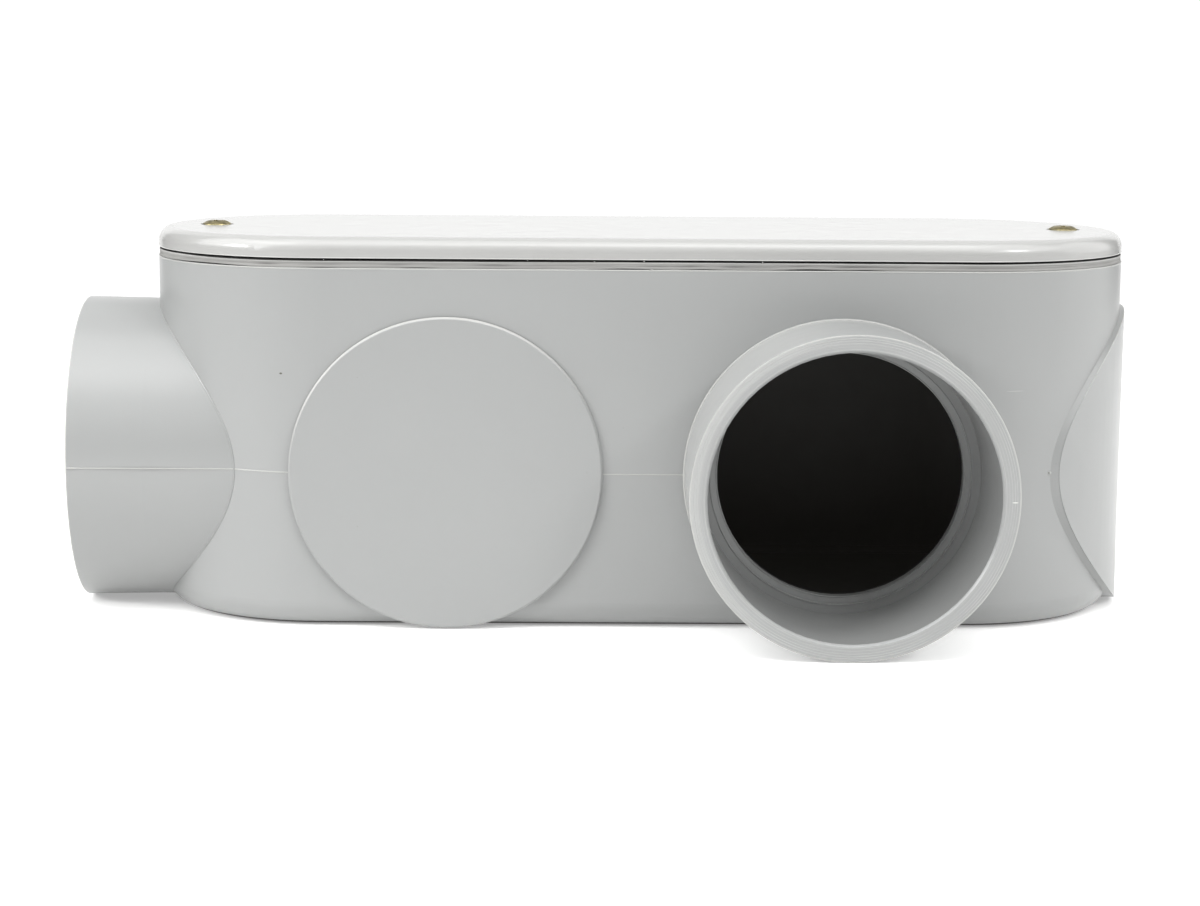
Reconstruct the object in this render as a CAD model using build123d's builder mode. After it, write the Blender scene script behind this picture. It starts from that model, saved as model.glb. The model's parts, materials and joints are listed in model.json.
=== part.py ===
"""A three inch PVC conduit body with one end socket and one side socket.

The frame is millimetres, +Z up. The origin is the centre of the flat base.
+X runs along the body towards its blank end, and -Y faces the side socket.
"""
from build123d import *

import os
from math import radians, tan

# Conduit and sockets
conduit_diameter = 88.9
socket_clearance = 0.25
socket_depth = 44.4
socket_wall = 5.1
socket_lead_in = 0.7
stop_ring_width = 3.0
stop_ring_step = 2.4
throat_radius = 39.4
hub_flare = 0.4
hub_edge_break = 0.5

# Body shell
rim_length = 320.6
rim_width = 113.2
rim_height = 115.5
hub_axis_height = 50.3
shell_wall = 5.0
floor_thickness = 5.0
base_radius = 8.5
floor_corner = 2.4
upper_draft = 0.1
lower_draft = 0.9
core_draft = 0.4

# Places of the two side hubs and the reach of each mouth from the shell
side_hub_spacing = 125.6
side_hub_reach = 46.0
end_hub_reach = 24.3
end_collar_land = 5.4

# Raised blanks where the mould family can carry a hub
blank_radius = 49.7
blank_height = 1.45
blank_edge_break = 0.4
hub_ring_margin = 0.4
end_blank_height = 1.6
end_blank_hollow = 0.15

# Cover, gasket and the gap that shows between them
gasket_thickness = 2.45
gasket_band = 7.6
gasket_inset = 0.4
ear_radius = 8.0
gap_height = 0.56
gap_depth = 2.2
cover_thickness = 7.1
cover_round = 4.5
cover_skin = 3.2
cover_land = 9.6
rib_thickness = 2.4
rib_drop = 0.9
rib_spacing = 62.0
rib_count = 3

# Cover screws, each set in from its end of the rim
screw_inset = 18.8
screw_major_radius = 2.4
screw_running_clearance = 0.08
screw_hole_clearance = 0.5
screw_length = 20.0
screw_tip_chamfer = 0.9
head_radius = 4.85
head_side = 0.65
head_crown_radius = 2.9
head_crown_side = 1.6
head_height = 1.8
seat_depth = 0.45
seat_margin = 0.65
slot_width = 1.3
slot_depth = 1.0
cross_length = 5.6
slot_turn = 82.0
boss_radius = 6.0
boss_web = 6.0
pilot_depth = 14.0

# Worked out from the values above
socket_radius = conduit_diameter / 2 + socket_clearance
hub_root_radius = socket_radius + socket_wall
hub_mouth_radius = hub_root_radius + hub_flare
upper_growth = (rim_height - hub_axis_height) * tan(radians(upper_draft))
parting_length = rim_length + 2 * upper_growth
parting_width = rim_width + 2 * upper_growth
half_length = parting_length / 2
half_width = parting_width / 2
end_centre = half_length - half_width
side_hub_x = side_hub_spacing / 2
side_mouth = half_width + side_hub_reach
end_mouth = half_length + end_hub_reach
end_collar = end_mouth - socket_depth - end_collar_land
blank_face = half_width + blank_height
end_blank_reach = half_width + end_blank_height
end_blank_top = hub_axis_height + hub_mouth_radius
end_blank_bottom = hub_axis_height - hub_mouth_radius
screw_x = rim_length / 2 - screw_inset
slot_length = 2 * (head_radius + seat_margin)
boss_web_end = rim_length / 2 - shell_wall / 2
boss_feet = {-1: hub_axis_height + socket_radius, 1: floor_thickness / 2}
ear_end = rim_length / 2 - gasket_band / 2
rib_reach = screw_x - ear_radius / 2
gasket_top = rim_height + gasket_thickness
cover_top = gasket_top + cover_thickness
screw_seat = cover_top - seat_depth
screw_tip = screw_seat - screw_length
screw_hole_radius = screw_major_radius + screw_hole_clearance


def socket_profile(mouth, inside):
    """Half section of the stepped hole from a mouth down to the hollow."""
    stop = mouth - socket_depth
    stop_radius = socket_radius - stop_ring_width
    return [
        (0, mouth),
        (socket_radius + socket_lead_in, mouth),
        (socket_radius, mouth - socket_lead_in),
        (socket_radius, stop),
        (stop_radius, stop),
        (stop_radius, stop - stop_ring_step),
        (throat_radius, stop - stop_ring_step),
        (throat_radius, inside),
        (0, inside),
    ]


def barrel_profile(mouth, root, inside):
    """Half section of a hub barrel that flares from its root to its mouth."""
    return [
        (0, inside),
        (hub_root_radius, inside),
        (hub_root_radius, root),
        (hub_mouth_radius, mouth - hub_edge_break),
        (hub_mouth_radius - hub_edge_break, mouth),
        (0, mouth),
    ]


# In each hub plane local X is a radius and local Y runs out of the mouth
side_hub_plane = Plane(
    origin=(side_hub_x, 0, hub_axis_height), x_dir=(-1, 0, 0), z_dir=(0, 0, 1)
)
end_hub_plane = Plane(
    origin=(0, 0, hub_axis_height), x_dir=(0, 1, 0), z_dir=(0, 0, 1)
)
side_hub_axis = Axis((side_hub_x, 0, hub_axis_height), (0, 1, 0))
end_hub_axis = Axis((0, 0, hub_axis_height), (1, 0, 0))

# The blank on the rounded end follows its curve and is slightly hollow
with BuildPart() as end_blank:
    with BuildSketch(Plane.XZ):
        with BuildLine():
            Polyline(
                (end_centre + end_blank_reach, end_blank_top),
                (end_centre, end_blank_top),
                (end_centre, end_blank_bottom),
                (end_centre + end_blank_reach, end_blank_bottom),
            )
            ThreePointArc(
                (end_centre + end_blank_reach, end_blank_bottom),
                (end_centre + end_blank_reach - end_blank_hollow, hub_axis_height),
                (end_centre + end_blank_reach, end_blank_top),
            )
        make_face()
    revolve(axis=Axis((end_centre, 0, 0), (0, 0, 1)))
    with BuildSketch(Plane.YZ.offset(end_centre)):
        with Locations((0, hub_axis_height)):
            Circle(blank_radius)
    extrude(amount=end_blank_reach, mode=Mode.INTERSECT)

# Body: two mould halves, the blanks and the hubs, then the hollow inside
with BuildPart() as body:
    with BuildSketch(Plane.XY.offset(hub_axis_height)):
        SlotOverall(parting_length, parting_width)
    extrude(amount=-hub_axis_height, taper=lower_draft)
    fillet(body.faces().sort_by(Axis.Z)[0].edges(), base_radius)
    with BuildSketch(Plane.XY.offset(hub_axis_height)):
        SlotOverall(parting_length, parting_width)
    extrude(amount=rim_height - hub_axis_height, taper=upper_draft)

    # Flat blanks: one beside the side hub, two on the far side
    with BuildSketch(Plane.XZ.offset(blank_face)):
        with Locations((-side_hub_x, hub_axis_height)):
            Circle(blank_radius)
    extrude(amount=-blank_face)
    with BuildSketch(Plane.XZ.offset(-blank_face)):
        with Locations((-side_hub_x, hub_axis_height), (side_hub_x, hub_axis_height)):
            Circle(blank_radius)
    extrude(amount=blank_face)
    with BuildSketch(Plane.XZ.offset(blank_face)):
        with Locations((side_hub_x, hub_axis_height)):
            Circle(hub_root_radius + hub_ring_margin)
    extrude(amount=-blank_face)
    side_faces = body.faces().filter_by(Axis.Y).group_by(Axis.Y)
    chamfer((side_faces[0] + side_faces[-1]).edges(), blank_edge_break)
    add(end_blank.part)

    with BuildSketch(side_hub_plane):
        with BuildLine():
            Polyline(barrel_profile(side_mouth, blank_face, 0), close=True)
        make_face()
    revolve(axis=side_hub_axis)
    with BuildSketch(end_hub_plane):
        with BuildLine():
            Polyline(barrel_profile(end_mouth, half_length, end_centre), close=True)
        make_face()
    revolve(axis=end_hub_axis)

    # The hollow, open at the rim
    with BuildSketch(Plane.XY.offset(rim_height)):
        SlotOverall(rim_length - 2 * shell_wall, rim_width - 2 * shell_wall)
    extrude(amount=floor_thickness - rim_height, taper=core_draft, mode=Mode.SUBTRACT)
    floor_face = body.faces().filter_by(Axis.Z).sort_by(Axis.Z)[1]
    chamfer(floor_face.edges(), floor_corner)

    # Collar round the end socket where it stands inside the hollow
    with BuildSketch(Plane.YZ.offset(-end_collar)):
        with Locations((0, hub_axis_height)):
            Circle(hub_root_radius)
    extrude(amount=end_collar - half_length)

    # Screw bosses with their webs: one stands on the collar, one on the floor
    for side, foot in boss_feet.items():
        with BuildSketch(Plane.XY.offset(rim_height)):
            with Locations((side * screw_x, 0)):
                Circle(boss_radius)
            with Locations((side * (screw_x + boss_web_end) / 2, 0)):
                Rectangle(boss_web_end - screw_x, boss_web)
        extrude(amount=foot - rim_height)

    # Stepped sockets and throats, and the pilot holes of the screws
    with BuildSketch(side_hub_plane):
        with BuildLine():
            Polyline(socket_profile(side_mouth, 0), close=True)
        make_face()
    revolve(axis=side_hub_axis, mode=Mode.SUBTRACT)
    with BuildSketch(end_hub_plane):
        with BuildLine():
            Polyline(socket_profile(end_mouth, end_centre), close=True)
        make_face()
    revolve(axis=end_hub_axis, mode=Mode.SUBTRACT)
    with Locations((-screw_x, 0, rim_height), (screw_x, 0, rim_height)):
        Hole(screw_major_radius + screw_running_clearance, depth=pilot_depth)

# Gasket: a flat ring with an ear round each screw, cut a little smaller than the rim
with BuildPart() as gasket:
    with BuildSketch(Plane.XY.offset(rim_height)):
        SlotOverall(rim_length - 2 * gasket_inset, rim_width - 2 * gasket_inset)
        SlotOverall(
            rim_length - 2 * gasket_band, rim_width - 2 * gasket_band, mode=Mode.SUBTRACT
        )
        for side in (-1, 1):
            with Locations((side * screw_x, 0)):
                Circle(ear_radius)
            with Locations((side * (screw_x + ear_end) / 2, 0)):
                Rectangle(ear_end - screw_x, 2 * ear_radius)
        with Locations((-screw_x, 0), (screw_x, 0)):
            Circle(screw_hole_radius, mode=Mode.SUBTRACT)
    extrude(amount=gasket_thickness)

# Cover: a shallow moulded tray turned upside down, ribbed underneath
with BuildPart() as cover:
    with BuildSketch(Plane.XY.offset(gasket_top)):
        SlotOverall(rim_length, rim_width)
    extrude(amount=cover_thickness)
    fillet(cover.faces().sort_by(Axis.Z)[-1].edges(), cover_round)
    with BuildSketch(Plane.XY.offset(gasket_top)):
        SlotOverall(rim_length, rim_width)
        SlotOverall(
            rim_length - 2 * gap_depth, rim_width - 2 * gap_depth, mode=Mode.SUBTRACT
        )
    extrude(amount=gap_height, mode=Mode.SUBTRACT)
    with BuildSketch(Plane.XY.offset(gasket_top)):
        SlotOverall(rim_length - 2 * cover_land, rim_width - 2 * cover_land)
        for side in (-1, 1):
            with Locations((side * screw_x, 0)):
                Circle(ear_radius, mode=Mode.SUBTRACT)
            with Locations((side * (screw_x + ear_end) / 2, 0)):
                Rectangle(ear_end - screw_x, 2 * ear_radius, mode=Mode.SUBTRACT)
    extrude(amount=cover_thickness - cover_skin, mode=Mode.SUBTRACT)
    with BuildSketch(Plane.XY.offset(gasket_top + rib_drop)):
        Rectangle(2 * rib_reach, rib_thickness)
        with GridLocations(rib_spacing, 0, rib_count, 1):
            Rectangle(rib_thickness, rim_width - 2 * cover_land)
    extrude(amount=cover_thickness - cover_skin - rib_drop)
    with Locations((-screw_x, 0, cover_top), (screw_x, 0, cover_top)):
        CounterBoreHole(screw_hole_radius, head_radius + seat_margin, seat_depth)


def cover_screw(x):
    """A pan head screw with a slot crossed by a short second slot."""
    with BuildPart() as screw:
        with BuildSketch(Plane.XZ):
            with BuildLine():
                Polyline(
                    (x + head_radius, screw_seat + head_side),
                    (x + head_radius, screw_seat),
                    (x + screw_major_radius, screw_seat),
                    (x + screw_major_radius, screw_tip + screw_tip_chamfer),
                    (x + screw_major_radius - screw_tip_chamfer, screw_tip),
                    (x, screw_tip),
                    (x, screw_seat + head_height),
                    (x + head_crown_radius, screw_seat + head_crown_side),
                    close=True,
                )
            make_face()
        revolve(axis=Axis((x, 0, 0), (0, 0, 1)))
        with BuildSketch(Plane.XY.offset(screw_seat + head_height)):
            with Locations((x, 0)):
                Rectangle(slot_width, slot_length, rotation=slot_turn)
                Rectangle(cross_length, slot_width, rotation=slot_turn)
        extrude(amount=-slot_depth, mode=Mode.SUBTRACT)
    return screw


screw_left = cover_screw(-screw_x)
screw_right = cover_screw(screw_x)

body.part.label = "body"
gasket.part.label = "gasket"
cover.part.label = "cover"
screw_left.part.label = "screw_left"
screw_right.part.label = "screw_right"

os.makedirs("parts", exist_ok=True)
export_step(body.part, "parts/body.step")
export_step(gasket.part, "parts/gasket.step")
export_step(cover.part, "parts/cover.step")
export_step(screw_left.part, "parts/screw_left.step")
export_step(screw_right.part, "parts/screw_right.step")
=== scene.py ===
"""Dresses a packed conduit body: its finishes, mould marks, gasket edge, screws, studio and camera.

The classes hold sizes in millimetres, in the frame of the model: +Z up, the end socket towards -X
and the side socket towards -Y. Meshes are written in metres.
"""
import json
import logging
import math
from dataclasses import dataclass
from enum import Enum, IntEnum
from typing import Any

import bpy
import numpy as np
from mathutils import Matrix, Vector


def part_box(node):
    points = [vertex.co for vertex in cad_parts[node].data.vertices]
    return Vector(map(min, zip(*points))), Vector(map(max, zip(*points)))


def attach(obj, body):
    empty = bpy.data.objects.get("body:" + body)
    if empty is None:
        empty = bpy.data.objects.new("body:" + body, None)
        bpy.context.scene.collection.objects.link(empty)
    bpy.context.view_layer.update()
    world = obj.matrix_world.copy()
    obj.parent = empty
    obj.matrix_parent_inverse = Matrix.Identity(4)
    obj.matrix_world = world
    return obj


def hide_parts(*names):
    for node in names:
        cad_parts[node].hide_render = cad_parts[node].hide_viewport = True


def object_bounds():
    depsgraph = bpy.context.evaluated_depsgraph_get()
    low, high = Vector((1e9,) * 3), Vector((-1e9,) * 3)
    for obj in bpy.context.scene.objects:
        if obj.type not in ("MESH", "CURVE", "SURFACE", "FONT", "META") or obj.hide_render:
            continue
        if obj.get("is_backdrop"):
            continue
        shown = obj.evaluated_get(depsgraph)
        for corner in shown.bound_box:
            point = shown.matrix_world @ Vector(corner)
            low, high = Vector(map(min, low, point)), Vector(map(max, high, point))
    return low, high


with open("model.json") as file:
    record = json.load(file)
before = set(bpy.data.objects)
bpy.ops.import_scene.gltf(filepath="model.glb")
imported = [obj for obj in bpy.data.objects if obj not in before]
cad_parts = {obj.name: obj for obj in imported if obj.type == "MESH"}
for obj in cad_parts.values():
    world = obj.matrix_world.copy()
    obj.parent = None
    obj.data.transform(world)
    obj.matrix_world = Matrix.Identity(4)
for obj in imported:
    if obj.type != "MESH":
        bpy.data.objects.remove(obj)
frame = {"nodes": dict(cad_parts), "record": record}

LOG = logging.getLogger("conduit_body")
MM = 0.001
TAU = 2 * math.pi
SMOOTH_EDGE = math.radians(32)
SEAT_DEPTH = 0.45

Triple = tuple[float, float, float]
Colour = Triple
Array = np.ndarray


class Wall(Enum):
    """The two long walls, valued by the direction of Y that they face."""

    FRONT = -1.0
    BACK = 1.0


class Hub(Enum):
    """The two hubs, valued by the name of their mount in the record."""

    END = "end_socket"
    SIDE = "side_socket"


class ScrewPlace(Enum):
    """The two cover screws, valued by the name of their CAD node and body."""

    LEFT = "screw_left"
    RIGHT = "screw_right"


# Shader maths


class Wire:
    """A value that leaves a shader node. Operators on it add Math nodes to its board."""

    def __init__(self, board: "Board", socket: bpy.types.NodeSocket) -> None:
        """Keeps the socket and the board that it belongs to."""
        self.board = board
        self.socket = socket

    def _math(self, operation: str, *values: Any) -> "Wire":
        """Adds one Math node.

        Args:
            operation: The node's operation, such as MULTIPLY.
            values: Its inputs in order, each a Wire or a number.

        Returns:
            The node's result.
        """
        inputs = dict(enumerate(values))
        return self.board.node("ShaderNodeMath", {"operation": operation}, inputs)[0]

    def __add__(self, other: Any) -> "Wire":
        """Self plus other."""
        return self._math("ADD", self, other)

    def __sub__(self, other: Any) -> "Wire":
        """Self minus other."""
        return self._math("SUBTRACT", self, other)

    def __rsub__(self, other: Any) -> "Wire":
        """Other minus self."""
        return self._math("SUBTRACT", other, self)

    def __mul__(self, other: Any) -> "Wire":
        """Self times other."""
        return self._math("MULTIPLY", self, other)

    def __pow__(self, other: Any) -> "Wire":
        """Self to the power of other."""
        return self._math("POWER", self, other)

    __radd__ = __add__
    __rmul__ = __mul__

    def step(self, low: float, high: float) -> "Wire":
        """A smooth step that is 0 at low and 1 at high, which may be the smaller.

        Args:
            low: Where it is 0.
            high: Where it is 1.

        Returns:
            The step.
        """
        inputs = {"Value": self, "From Min": low, "From Max": high, "To Min": 0.0, "To Max": 1.0}
        settings = {"interpolation_type": "SMOOTHSTEP", "clamp": True}
        return self.board.node("ShaderNodeMapRange", settings, inputs)[0]

    def above(self, value: float) -> "Wire":
        """The larger of self and a number."""
        return self._math("MAXIMUM", self, value)

    def distance_to(self, value: float) -> "Wire":
        """How far self is from a number, as a positive value."""
        return self._math("ABSOLUTE", self - value)


Axes = tuple[Wire, Wire, Wire]


class Board:
    """A node tree that is being filled, for a material or a world."""

    OBJECT_OUTPUT = 3
    NOISE_ROUGHNESS = 0.55
    SPECK_FULL = 0.4

    def __init__(self, tree: bpy.types.NodeTree) -> None:
        """Empties the tree and keeps it."""
        self.tree = tree
        tree.nodes.clear()

    @staticmethod
    def _find(sockets: Any, key: Any) -> bpy.types.NodeSocket:
        """The socket with this place, identifier or name.

        Args:
            sockets: A node's inputs or outputs.
            key: The place, identifier or name.

        Returns:
            The socket.
        """
        if isinstance(key, int):
            return sockets[key]
        return next((s for s in sockets if s.identifier == key), None) or sockets[key]

    def node(self, kind: str, settings: dict[str, Any], inputs: dict[Any, Any]) -> list[Wire]:
        """Adds any node.

        Args:
            kind: The node's type.
            settings: Its properties, such as its operation, which are set first.
            inputs: Its sockets by place, identifier or name, each a Wire or a constant.

        Returns:
            Its outputs that are in use, as wires, in order.
        """
        made = self.tree.nodes.new(kind)
        for key, value in settings.items():
            setattr(made, key, value)
        for key, value in inputs.items():
            socket = self._find(made.inputs, key)
            if isinstance(value, Wire):
                self.tree.links.new(value.socket, socket)
            else:
                socket.default_value = value
        return [Wire(self, s) for s in made.outputs if s.enabled]

    def place(self) -> Wire:
        """The Object coordinates, in metres in the frame of the model."""
        return self.node("ShaderNodeTexCoord", {}, {})[self.OBJECT_OUTPUT]

    def axes(self) -> Axes:
        """The Object coordinates as three values in millimetres."""
        x, y, z = self.node("ShaderNodeSeparateXYZ", {}, {0: self.place()})
        return x * (1 / MM), y * (1 / MM), z * (1 / MM)

    def noise(self, size_mm: float, stretch: Triple = (1, 1, 1), detail: float = 2.0) -> Wire:
        """Smooth noise from 0 to 1.

        Args:
            size_mm: The size of its largest features.
            stretch: How many times longer they are along each axis.
            detail: How many finer layers are added.

        Returns:
            The noise value.
        """
        scale = [1 / (MM * size_mm * s) for s in stretch]
        spot = self.node("ShaderNodeMapping", {}, {"Vector": self.place(), "Scale": scale})[0]
        inputs = {"Vector": spot, "Scale": 1.0, "Detail": detail}
        inputs["Roughness"] = self.NOISE_ROUGHNESS
        return self.node("ShaderNodeTexNoise", {"noise_dimensions": "3D"}, inputs)[0]

    def specks(self, spacing_mm: float, radius_mm: float) -> Wire:
        """A mask of rare round specks: 1 within two fifths of the radius from a cell's middle.

        Args:
            spacing_mm: The size of the cells, one speck in each.
            radius_mm: A speck's radius.

        Returns:
            The mask, from 0 to 1.
        """
        inputs = {"Vector": self.place(), "Scale": 1 / (MM * spacing_mm), "Randomness": 1.0}
        away = self.node("ShaderNodeTexVoronoi", {"feature": "F1"}, inputs)[0]
        return away.step(radius_mm / spacing_mm, self.SPECK_FULL * radius_mm / spacing_mm)

    def blend(self, factor: Wire, low: Any, high: Any) -> Wire:
        """Mixes two colours, each a wire or a constant, by a factor from 0 to 1.

        Args:
            factor: How much of the second colour.
            low: The colour at 0.
            high: The colour at 1.

        Returns:
            The colour.
        """
        colours = {
            key: value if isinstance(value, Wire) else (*value, 1.0)
            for key, value in (("A_Color", low), ("B_Color", high))
        }
        inputs = {"Factor_Float": factor, **colours}
        return self.node("ShaderNodeMix", {"data_type": "RGBA", "clamp_factor": True}, inputs)[0]

    def bump(self, height: Wire, depth_mm: float) -> Wire:
        """A normal from a height of 0 to 1 that stands for this depth."""
        inputs = {"Height": height, "Distance": depth_mm * MM, "Strength": 1.0}
        return self.node("ShaderNodeBump", {}, inputs)[0]

    def finish(self, inputs: dict[str, Any]) -> None:
        """Adds the Principled shader with these inputs and the material's output."""
        shader = self.node("ShaderNodeBsdfPrincipled", {}, inputs)[0]
        self.node("ShaderNodeOutputMaterial", {}, {"Surface": shader})


def new_board(name: str) -> tuple[bpy.types.Material, Board]:
    """Makes an empty node material.

    Args:
        name: The material's name.

    Returns:
        The material and the board that fills it.
    """
    material = bpy.data.materials.new(name)
    material.use_nodes = True
    return material, Board(material.node_tree)


def either_side(shade: Colour, spread: float) -> tuple[Colour, Colour]:
    """A darker and a lighter shade: the shade times one less and times one more than the spread."""
    return tuple(c * (1 - spread) for c in shade), tuple(c * (1 + spread) for c in shade)


def off_spine(axes: Axes, end_centre_mm: float) -> Wire:
    """The distance in plan from the line between the centres of the rounded ends.

    It is the root of the sum of squares of y and of how far x is past the line's end.

    Args:
        axes: The Object coordinates in millimetres.
        end_centre_mm: How far each end of the line is from the middle.

    Returns:
        The distance in millimetres.
    """
    x, y, _ = axes
    past = (x.distance_to(0.0) - end_centre_mm).above(0.0)
    return (past * past + y * y) ** 0.5


# Finishes


@dataclass(frozen=True)
class HubZones:
    """A hub's mouth face, barrel, bore and way in, as masks for the finish of the housing, its
    painted shade and its painted highlights.

    A pair of sizes is where a mask's smooth step starts and where it ends.
    """

    centre_mm: Triple
    along_x: bool
    mouth_mm: float
    root_mm: float
    throat_mm: float
    face_depth_mm: tuple[float, float] = (0.9, 0.3)
    barrel_inside_mm: tuple[float, float] = (46.5, 48.0)
    barrel_outside_mm: tuple[float, float] = (53.0, 52.0)
    bore_mm: tuple[float, float] = (45.3, 44.9)
    way_in_mm: tuple[float, float] = (46.2, 45.8)
    root_fade_mm: float = 1.0
    throat_fade_mm: float = 0.4

    def along(self, axes: Axes) -> Wire:
        """How far along the hub's axis a point is, which is less towards the mouth."""
        return axes[0] if self.along_x else axes[1]

    def radius(self, axes: Axes) -> Wire:
        """The distance from the hub's axis: the root of the sum of the two squares across it.

        Args:
            axes: The Object coordinates in millimetres.

        Returns:
            The distance in millimetres.
        """
        x, y, z = axes
        across = y - self.centre_mm[1] if self.along_x else x - self.centre_mm[0]
        up = z - self.centre_mm[2]
        return (across * across + up * up) ** 0.5

    def face(self, axes: Axes) -> Wire:
        """1 on the mouth face and 0 from a little way behind it."""
        start, full = self.face_depth_mm
        return self.along(axes).step(self.mouth_mm + start, self.mouth_mm + full)

    def ahead_of_root(self, axes: Axes) -> Wire:
        """1 from the mouth to just in front of the hub's root."""
        return self.along(axes).step(self.root_mm, self.root_mm - self.root_fade_mm)

    def barrel(self, axes: Axes) -> Wire:
        """1 on the outside of the barrel, in front of its root.

        Args:
            axes: The Object coordinates in millimetres.

        Returns:
            The mask, from 0 to 1.
        """
        radius = self.radius(axes)
        face_shade = radius.step(*self.barrel_inside_mm) * radius.step(*self.barrel_outside_mm)
        return face_shade * self.ahead_of_root(axes)

    def bore(self, axes: Axes) -> Wire:
        """1 on the wall of the socket and on what lies behind it, as far as the root."""
        return self.ahead_of_root(axes) * self.radius(axes).step(*self.bore_mm)

    def way_in(self, axes: Axes) -> Wire:
        """1 in the socket, on its stop ring and in the throat, as far as the hollow."""
        reach = self.along(axes).step(self.throat_mm + self.throat_fade_mm, self.throat_mm)
        return reach * self.radius(axes).step(*self.way_in_mm)


@dataclass(frozen=True)
class InteriorShade:
    """The inside of the shell: painted shade makes it darker than the polished outside, a faint
    painted glow lifts its blacks evenly, and it is duller.
    """

    end_centre_mm: float
    half_width_mm: float
    shade: Colour = (0.030, 0.029, 0.027)
    painted_glow: Colour = (0.0034, 0.0032, 0.0028)
    extra_roughness: float = 0.3
    start_mm: float = 4.3
    full_mm: float = 4.8

    def mask(self, axes: Axes) -> Wire:
        """1 inside the wall, by how far in from the outline of the plan a point is."""
        start, full = self.half_width_mm - self.start_mm, self.half_width_mm - self.full_mm
        return off_spine(axes, self.end_centre_mm).step(start, full)


@dataclass(frozen=True)
class GapShade:
    """A narrow gap round the plan, painted dark as shade where little light comes in."""

    end_centre_mm: float
    half_width_mm: float
    top_mm: float
    set_in_mm: float
    deep_mm: float
    shade: Colour = (0.012, 0.011, 0.010)
    edge_fade_mm: float = 0.05
    deep_fade_mm: float = 0.4
    top_fade_mm: float = 0.04

    def mask(self, axes: Axes) -> Wire:
        """1 in the gap: below its top, and between two distances in from the plan's outline.

        Args:
            axes: The Object coordinates in millimetres.

        Returns:
            The mask, from 0 to 1.
        """
        inward = self.half_width_mm - off_spine(axes, self.end_centre_mm)
        near = inward.step(self.set_in_mm - self.edge_fade_mm, self.set_in_mm + self.edge_fade_mm)
        far = inward.step(self.deep_mm, self.deep_mm - self.deep_fade_mm)
        return near * far * axes[2].step(self.top_mm, self.top_mm - self.top_fade_mm)


@dataclass(frozen=True)
class HighlightArc:
    """The side of a round edge or barrel that faces the light, lightened as a painted highlight."""

    centre_mm: Triple
    towards: Triple
    start_mm: float
    full_mm: float

    def mask(self, axes: Axes) -> Wire:
        """A smooth step of how far a point is from the centre in one direction: a dot product.

        Args:
            axes: The Object coordinates in millimetres.

        Returns:
            The mask, from 0 to 1.
        """
        x, y, z = (axis - middle for axis, middle in zip(axes, self.centre_mm))
        reach = x * self.towards[0] + y * self.towards[1] + z * self.towards[2]
        return reach.step(self.start_mm, self.full_mm)


@dataclass(frozen=True)
class Mark:
    """A small scuff or speck on the front of the body, by where it is across and up."""

    x_mm: float
    z_mm: float
    half_long_mm: float
    half_high_mm: float
    shade: Colour
    front_mm: tuple[float, float] = (-50.0, -52.0)
    edge: tuple[float, float] = (1.0, 0.3)

    def mask(self, axes: Axes) -> Wire:
        """1 inside an ellipse, where the sum of two squares is small, on the front of the body.

        Args:
            axes: The Object coordinates in millimetres.

        Returns:
            The mask, from 0 to 1.
        """
        x, y, z = axes
        across = (x - self.x_mm) * (1 / self.half_long_mm)
        up = (z - self.z_mm) * (1 / self.half_high_mm)
        return (across * across + up * up).step(*self.edge) * y.step(*self.front_mm)


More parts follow.
